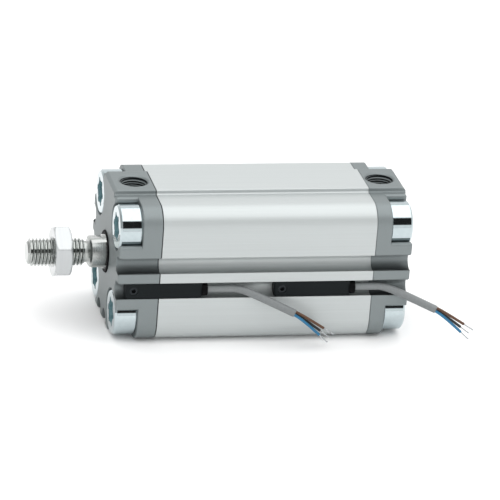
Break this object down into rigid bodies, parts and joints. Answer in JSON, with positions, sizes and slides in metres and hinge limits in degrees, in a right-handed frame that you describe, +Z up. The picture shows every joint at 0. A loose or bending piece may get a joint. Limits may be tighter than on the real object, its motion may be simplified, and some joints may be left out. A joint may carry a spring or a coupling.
{
  "type": "compact pneumatic cylinder",
  "caption": "Square-bodied double-acting air cylinder with a threaded rod, ports on top and position sensors with short cables in a side groove.",
  "frame": {"origin": "on the rod axis, in the outer face of the front cap", "axes": "+X along the rod axis from the rod end to the rear, +Y away from the sensor side, +Z up to the air ports"},
  "size_m": [0.1558, 0.0572, 0.0516],
  "materials": {
    "anodised_tube": "satin anodised extrusion",
    "cap_alloy": "fine blasted and anodised casting",
    "zinc_screw": "bright zinc plated",
    "zinc_nut": "bright zinc plated",
    "rod_steel": "turned and ground stainless steel",
    "spring_steel": "blued",
    "set_screw_steel": "blackened",
    "bush_bronze": "sintered",
    "piston_alloy": "turned",
    "black_rubber": "moulded",
    "bumper_elastomer": "moulded",
    "magnet_compound": "plastic bonded magnet",
    "guide_plastic": "machined",
    "sensor_plastic": "moulded",
    "reed_glass": "drawn",
    "cable_jacket": "extruded",
    "brown_insulation": "extruded",
    "black_insulation": "extruded",
    "blue_insulation": "extruded",
    "tinned_copper": "tinned strands"
  },
  "bodies": {
    "barrel": {"tube_profile": "anodised_tube", "front_cap": "cap_alloy", "rear_cap": "cap_alloy", "front_cap_screws": "zinc_screw", "rear_cap_screws": "zinc_screw", "front_tube_seal": "black_rubber", "rear_tube_seal": "black_rubber", "rod_wiper": "black_rubber", "rod_bush": "bush_bronze", "rod_seal": "black_rubber", "seal_retaining_ring": "spring_steel"},
    "piston_seals": {"piston_guide_ring": "guide_plastic", "front_piston_seal": "black_rubber", "rear_piston_seal": "black_rubber"},
    "rod": {"piston_rod": "rod_steel", "front_piston_half": "piston_alloy", "rear_piston_half": "piston_alloy", "piston_magnet": "magnet_compound", "front_bumper": "bumper_elastomer", "rear_bumper": "bumper_elastomer", "piston_o_ring": "black_rubber", "piston_nut": "zinc_nut"},
    "lock_nut": {"rod_nut": "zinc_nut"},
    "front_sensor": {"front_sensor_housing": "sensor_plastic", "front_sensor_grommet": "black_rubber", "front_sensor_reed": "reed_glass", "front_sensor_cable": "cable_jacket", "front_sensor_brown_wire": "brown_insulation", "front_sensor_black_wire": "black_insulation", "front_sensor_blue_wire": "blue_insulation", "front_sensor_bare_ends": "tinned_copper"},
    "front_set_screw": {"front_sensor_set_screw": "set_screw_steel"},
    "rear_sensor": {"rear_sensor_housing": "sensor_plastic", "rear_sensor_grommet": "black_rubber", "rear_sensor_reed": "reed_glass", "rear_sensor_cable": "cable_jacket", "rear_sensor_brown_wire": "brown_insulation", "rear_sensor_black_wire": "black_insulation", "rear_sensor_blue_wire": "blue_insulation", "rear_sensor_bare_ends": "tinned_copper"},
    "rear_set_screw": {"rear_sensor_set_screw": "set_screw_steel"}
  },
  "joints": [
    {"name": "rod_slide", "type": "slide", "parent": "barrel", "child": "piston_seals", "axis": [-1, 0, 0], "range_m": [0, 0.06]},
    {"name": "rod_turn", "type": "hinge", "parent": "piston_seals", "child": "rod", "pos_m": [0, 0, 0], "axis": [-1, 0, 0], "continuous": true},
    {"name": "nut_turn", "type": "hinge", "parent": "rod", "child": "lock_nut", "pos_m": [-0.0159, 0, 0], "axis": [-1, 0, 0], "continuous": true},
    {"name": "front_sensor_slide", "type": "slide", "parent": "barrel", "child": "front_sensor", "axis": [1, 0, 0], "range_m": [-0.003, 0.0035]},
    {"name": "front_set_screw_turn", "type": "hinge", "parent": "front_sensor", "child": "front_set_screw", "pos_m": [0.0059, -0.0234, -0.00469], "axis": [0, -1, 0], "continuous": true},
    {"name": "rear_sensor_slide", "type": "slide", "parent": "barrel", "child": "rear_sensor", "axis": [1, 0, 0], "range_m": [-0.0035, 0.019]},
    {"name": "rear_set_screw_turn", "type": "hinge", "parent": "rear_sensor", "child": "rear_set_screw", "pos_m": [0.0588, -0.0234, -0.00469], "axis": [0, -1, 0], "continuous": true}
  ]
}
